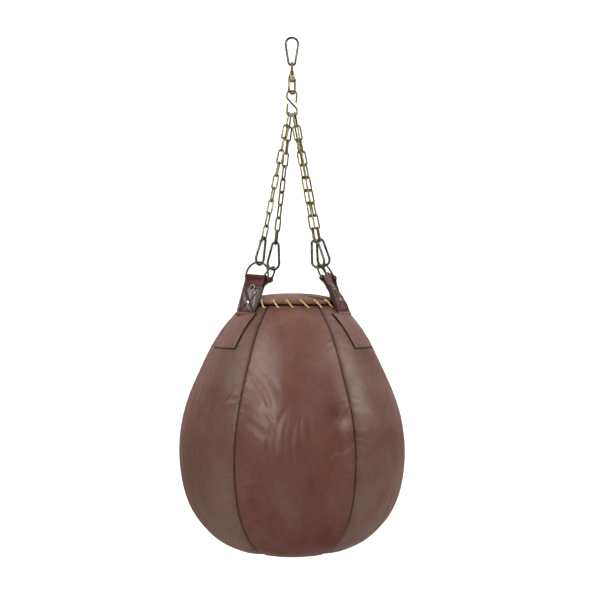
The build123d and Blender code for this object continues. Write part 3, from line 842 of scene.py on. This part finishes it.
def strap(name):
    foot, knee, bar, across_low, across_high = strap_frames(name)
    up0, up1 = unit(knee - foot), unit(bar - knee)
    start, end = foot - up0 * 9, bar - up1 * 9.0
    length = np.linalg.norm(end - start)
    rng = random.Random(name)
    frames = []
    for k in range(STRAP_STEPS):
        t = k / (STRAP_STEPS - 1)
        point = bezier(start, knee, end, t)
        ahead, behind = min(t + 0.02, 1), max(t - 0.02, 0)
        along = unit(bezier(start, knee, end, ahead) - bezier(start, knee, end, behind))
        ease = t * t * (3 - 2 * t)
        across = across_low * (1 - ease) + across_high * ease
        across = unit(across - along * across.dot(along))
        frames.append((point, across, np.cross(across, along), t))

    low, high = PAD_LOW * length, PAD_HIGH * length
    corners = [(-BOX_HALF, low + 3), (-BOX_HALF, high - 3), (BOX_HALF, high - 3), (BOX_HALF, low + 3)]
    seams = [(corners[k], corners[(k + 1) % 4]) for k in range(4)]
    seams += [(corners[0], corners[2]), (corners[1], corners[3])]
    waves = [(rng.uniform(0.2, 0.5), rng.uniform(0.15, 0.4), rng.uniform(0, 6)) for _ in range(4)]

    def face_lift(x, t):
        """The pad puffs up between its stitch lines, and the band over it is smooth."""
        y = t * length
        near = np.min([segment_distance(x, y, ends) for ends in seams], axis=0)
        inside = 1 / (1 + np.exp(-(y - low) / 0.8)) / (1 + np.exp((y - high) / 0.5))
        puff = 1.9 * (1 - np.exp(-((near / 3.0) ** 2))) - 0.5
        for wx, wy, phase in waves:
            puff = puff + 0.12 * np.sin(wx * x + wy * y + phase) * np.minimum(near / 3, 1)
        groove = -0.5 * np.exp(-(((y - high - 0.6) / 0.7) ** 2))
        band = 0.5 / (1 + np.exp(-(y - high - 1.2) / 0.4))
        return inside * puff + groove + band, near

    # one strip for both plies: up the back, round the bar, down the front
    flat = STRAP_W / 2 - 1.2
    xs = np.linspace(-flat, flat, FACE_POINTS)
    gap = STRAP_PLY / 2 + 0.06
    strip = [(point - out * gap, across, -out, t, True) for point, across, out, t in frames]
    out = unit(np.cross(across_high, up1))
    along = np.cross(out, across_high)
    radius = LOOP_R + STRAP_PLY / 2
    for k in range(13):
        a = math.radians(-28 + 236 * k / 12)
        centre = bar - out * radius * math.cos(a) + along * radius * math.sin(a)
        strip.append((centre, across_high, unit(centre - bar), 1.0, False))
    strip += [(point + out * gap, across, out, t, True) for point, across, out, t in reversed(frames)]
    # the right-hand straps take the lighter copy of the leather, which is painted light
    hide = LIT_BROWN_STRAP if name in ("front_right", "rear_right") else STRAP_LEATHER
    rings, shade = [], []
    for centre, across, out, t, padded in strip:
        wide = STRAP_W + 0.5 * math.sin(t * 9 + len(name)) - (1.2 * (1 - t) if padded else 0)
        lifts, near = face_lift(xs, t) if padded else (np.full(FACE_POINTS, 0.5), np.full(FACE_POINTS, 9.0))
        ring = strip_section(centre, across, out, wide, lifts)
        rings.extend(ring)
        y = t * length
        band = 1 / (1 + math.exp(-(y - high) / 0.5))
        tint = np.ones(3) if hide is LIT_BROWN_STRAP else np.ones(3) * (1 - band) + BAND_TINT * band
        # painted shade: a dark line where the band meets the pad and darkening along the stitch grooves;
        # the rounded edges and the inner face are darker too
        line = 1 - 0.7 * math.exp(-(((y - high) / 0.8) ** 2))
        face = 1 - 0.82 * np.exp(-((near / 1.3) ** 2))
        face = np.concatenate([face, np.full(len(ring) - FACE_POINTS, 0.55)])
        shade.extend(face[:, None] * tint * line)
    count = FACE_POINTS + 12
    build = Build()
    faces = grid_faces(len(strip), count, wrap_columns=True)
    faces.append(tuple(range(count))[::-1])
    faces.append(tuple((len(strip) - 1) * count + k for k in range(count)))
    build.add(rings, faces, shade)
    obj = build.object(f"leather_strap_{name}", hide)
    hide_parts(f"strap_{name}")
    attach(obj, "bag")

    def on_face(x, y, side):
        k = min(max(y / length, 0), 1) * (STRAP_STEPS - 1)
        i = min(int(k), STRAP_STEPS - 2)
        f = k - i
        point, across, out = (frames[i][c] * (1 - f) + frames[i + 1][c] * f for c in range(3))
        lift = float(face_lift(np.array([x]), y / length)[0][0])
        return point + unit(across) * x + unit(out) * side * (gap + STRAP_PLY / 2 + lift), unit(out) * side

    # box and cross stitching on both faces
    thread = Build()
    for side in (1, -1):
        for (x0, y0), (x1, y1) in seams:
            placed = [on_face(x0 + (x1 - x0) * k / 16, y0 + (y1 - y0) * k / 16, side) for k in range(17)]
            thread.stitches([p for p, _ in placed], [n for _, n in placed], 4.2, 3.2, 0.5, 0.3)
    obj = thread.object(f"strap_stitching_{name}", THREAD)
    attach(obj, "bag")

    # the turned edge of the patch, drawn round the strap's foot
    welt = Build()
    foot_y = 3.6
    for side in (1, -1):
        reach = STRAP_W / 2 + 1.5
        placed = [
            on_face(x, foot_y + 0.8 * math.sin(x * 0.12 + len(name)), side)
            for x in np.linspace(-reach, reach, 25)
        ]
        path = [point - normal * 1.3 for point, normal in placed]
        sizes = [4.4 * math.sqrt(max(1 - (2 * k / 24 - 1) ** 8, 0.12)) for k in range(25)]
        welt.tube(path, sizes, sides=14)
    obj = welt.object(f"strap_welt_{name}", BROWN_WELT if hide is LIT_BROWN_STRAP else WELT_LEATHER)
    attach(obj, "bag")

    # rivets: a flat washer with a dark eye above and a domed one below
    rivets = Build()
    for share, kind in zip(RIVET_PLACES, ("ring", "dome")):
        centre = knee + (bar - knee) * share
        best = min(frames, key=lambda f: np.linalg.norm(f[0] - centre))
        centre = best[0] + up1 * np.dot(centre - best[0], up1)
        out = best[2]
        for side in (1, -1):
            base = centre + out * side * (STRAP_PLY + 0.7)
            if kind == "ring":
                size = 7.0 if side > 0 else 5.0
                profile = [(size, -1.0), (size, 0.4), (size - 0.3, 0.9), (size - 0.9, 1.15)]
                profile += [(size - 1.4, 0.8), (size - 1.6, 0.1), (1.6, -0.1), (1.2, 0.5), (0, 0.6)]
                bright = [0.5, 0.6, 0.75, 0.75, 0.4, 0.07, 0.06, 0.1, 0.12]
            else:
                size = 4.2 if side > 0 else 3.4
                profile = [(size, -1.0), (size, 0.2), (size * 0.9, 0.8)]
                profile += [(size * 0.65, 1.3), (size * 0.3, 1.6), (0, 1.68)]
                bright = [0.5, 0.7, 0.9, 1.0, 1.0, 1.0]
            rivets.lathe(base, out * side, profile, LATHE_SIDES, shade=np.repeat(bright, LATHE_SIDES))
    obj = rivets.object(f"rivets_{name}", RIVET)
    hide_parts(f"strap_rivets_{name}")
    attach(obj, "bag")


def patch(name):
    place = PATCH_PLACES[name]
    low, high = float(run_at_height(PATCH_LOW_H)), float(run_at_height(PATCH_HIGH_H))
    rows, columns = 60, 56
    s = np.linspace(0, 1, rows)
    t = np.linspace(-1, 1, columns)
    s = 0.5 - 0.5 * np.cos(math.pi * s) * (0.6 + 0.4 * np.abs(np.cos(math.pi * s)))
    t = np.sign(t) * (1 - (1 - np.abs(t)) ** 1.6)
    tt, ss = np.meshgrid(t, s)
    run = low + (high - low) * ss
    x = tt * PATCH_W / 2
    from_side = PATCH_W / 2 - np.abs(x)
    from_low = (high - low) * ss
    from_high = (high - low) * (1 - ss)
    edge = np.minimum(np.minimum(from_side, from_low), from_high)
    lift = 1.7 + PATCH_T * np.sqrt(np.clip(1 - np.clip(1 - edge / 1.5, 0, 1) ** 2, 0, 1)) - 0.9
    lift = lift - 0.25 * np.exp(-(((edge - 2.6) / 0.7) ** 2))
    rng = random.Random(name + "patch")
    lift = lift + 0.25 * np.sin(x * 0.13 + rng.uniform(0, 6)) * np.sin(run * 0.11 + rng.uniform(0, 6))
    r = outline(run)[0]
    azimuth = place + np.degrees(x / r)
    points = surface(azimuth, run, lift)
    # darker along the patch's rounded edge; this and the dark skirt below are partly the cut edge's own
    # dark colour, partly painted shade
    shade = 1 - 0.85 * np.exp(-((edge / 1.1) ** 2))
    # the edge turned down on to the panel
    build = Build()
    build.add(points.reshape(-1, 3), grid_faces(rows, columns), shade.ravel())

    def around(grid):
        return np.concatenate([grid[0], grid[1:, -1], grid[-1, ::-1][1:], grid[::-1, 0][1:]])

    border = around(points)
    outward = border - points[rows // 2, columns // 2]
    outward *= PATCH_FLARE / np.linalg.norm(outward, axis=1)[:, None]
    sunk = surface(azimuth, run, -PATCH_SKIRT) - surface(azimuth, run, 0)
    down = border + outward + around(sunk)
    n = len(border)
    skirt = [(k, (k + 1) % n, n + (k + 1) % n, n + k) for k in range(n - 1)]
    skirt = [tuple(reversed(f)) for f in skirt]
    build.add(np.concatenate([border, down]), skirt, [0.12] * (2 * n))
    # dark cords along the sides and the foot of the patch: partly its dark cut edge, partly painted shadow
    # where the edge meets the panel
    for path, size in (
        (surface(azimuth[:, 0], run[:, 0], 1.7), 1.35),
        (surface(azimuth[:, -1], run[:, -1], 1.7), 1.35),
        (surface(azimuth[0], run[0], 1.9), 0.95),
    ):
        build.tube(path, size, sides=8, shade=0.1)
    obj = build.object(f"leather_patch_{name}", PATCH_LEATHER)
    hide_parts(f"strap_patch_{name}")
    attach(obj, "bag")

    thread = Build()
    inset = 2.6
    line = []
    w = PATCH_W / 2 - inset
    corners = [(-w, high - inset), (-w, low + inset), (w, low + inset), (w, high - inset)]
    for (x0, r0), (x1, r1) in zip(corners, corners[1:]):
        line += [(x0 + (x1 - x0) * k / 30, r0 + (r1 - r0) * k / 30) for k in range(30)]
    line.append(corners[-1])
    xs, rs = np.array(line).T
    az = place + np.degrees(xs / outline(rs)[0])
    on = surface(az, rs, PATCH_T + 0.45)
    off = surface(az, rs, PATCH_T + 1.45)
    thread.stitches(on, off - on, 4.0, 2.9, 0.38, 0.22)
    obj = thread.object(f"patch_stitching_{name}", PATCH_THREAD)
    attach(obj, "bag")


for strap_name in STRAPS:
    strap(strap_name)
    patch(strap_name)

# ======================= finishes of the CAD nodes =======================
FINISHES = {
    "chain_": ZINC,
    "s_hook": ZINC,
    "swivel_": ZINC,
    "d_ring_": BRONZE,
    "spring_hook_": DARK_STEEL,
    "top_hook_": DARK_STEEL,
    "canvas_liner": CANVAS,
    "foam_layer": FOAM,
    "cap_padding": FOAM,
    "textile_filling": TEXTILE,
}
for node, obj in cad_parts.items():
    for start, material in FINISHES.items():
        if node.startswith(start):
            obj.data.materials.clear()
            obj.data.materials.append(material)

# ======================= studio =======================
floor_mat, _, floor_shader = new_material("studio_white")
floor_shader.inputs["Base Color"].default_value = (0.93, 0.93, 0.93, 1)
floor_shader.inputs["Roughness"].default_value = 0.9
sweep_points = []
FLOOR_Z, BACK_Y, FRONT_Y, SIDE, ROUND = -1300.0, 2600.0, -5000.0, 6000.0, 900.0
track = [(FRONT_Y, FLOOR_Z), (BACK_Y - ROUND, FLOOR_Z)]
for k in range(1, 13):
    a = math.radians(90 * k / 12)
    track.append((BACK_Y - ROUND + ROUND * math.sin(a), FLOOR_Z + ROUND - ROUND * math.cos(a)))
track.append((BACK_Y, 3500.0))
for y, z in track:
    sweep_points += [(-SIDE, y, z), (SIDE, y, z)]
cyc = mesh_object("studio_sweep", sweep_points, grid_faces(len(track), 2), floor_mat)


def area(name, place, target, size, power, colour=(1, 1, 1)):
    data = bpy.data.lights.new(name, "AREA")
    data.shape = "RECTANGLE"
    data.size, data.size_y = size
    data.energy = power
    data.color = colour
    obj = bpy.data.objects.new(name, data)
    obj.location = place
    obj.rotation_euler = (Vector(target) - Vector(place)).to_track_quat("-Z", "Y").to_euler()
    bpy.context.scene.collection.objects.link(obj)
    return obj


area("key_left", (-1.25, -2.1, 0.35), (0, 0, -0.7), (0.3, 1.3), 27)
area("key_front", (1.3, -2.3, 0.7), (0, 0, -0.7), (0.9, 1.2), 18)
area("strip_left", (-1.9, -0.65, 1.1), (0, 0, -0.7), (0.45, 1.1), 22)
area("strip_right", (2.0, -0.5, 0.45), (0, 0, -0.7), (0.4, 1.4), 24)
area("top_soft", (0.2, -0.5, 1.6), (0, 0, -0.6), (1.6, 1.2), 5)
area("backdrop_light", (0, 1.3, 1.9), (0, 2.6, -0.6), (5.0, 1.0), 105)

world = bpy.data.worlds.new("studio")
world.use_nodes = True
world.node_tree.nodes["Background"].inputs[0].default_value = (1, 1, 1, 1)
world.node_tree.nodes["Background"].inputs[1].default_value = 0.16
bpy.context.scene.world = world

# ======================= camera =======================
CAM_DISTANCE = 2.3
CAM_AZIMUTH = -2.0
CAM_Z = -0.514
CAM_SIDE = 0.0082
FOCAL_PX = 1150.0
camera_data = bpy.data.cameras.new("camera")
camera_data.sensor_width = 36.0
camera_data.lens = FOCAL_PX / 592 * 36
camera_data.clip_start = 0.01
camera = bpy.data.objects.new("camera", camera_data)
a = math.radians(CAM_AZIMUTH)
right = Vector((math.cos(a), math.sin(a), 0))
back = Vector((math.sin(a), -math.cos(a), 0))
camera.location = back * CAM_DISTANCE + right * CAM_SIDE + Vector((0, 0, CAM_Z))
camera.rotation_euler = (math.radians(90), 0, a)
bpy.context.scene.collection.objects.link(camera)
bpy.context.scene.camera = camera
bpy.context.scene.view_settings.view_transform = "Standard"
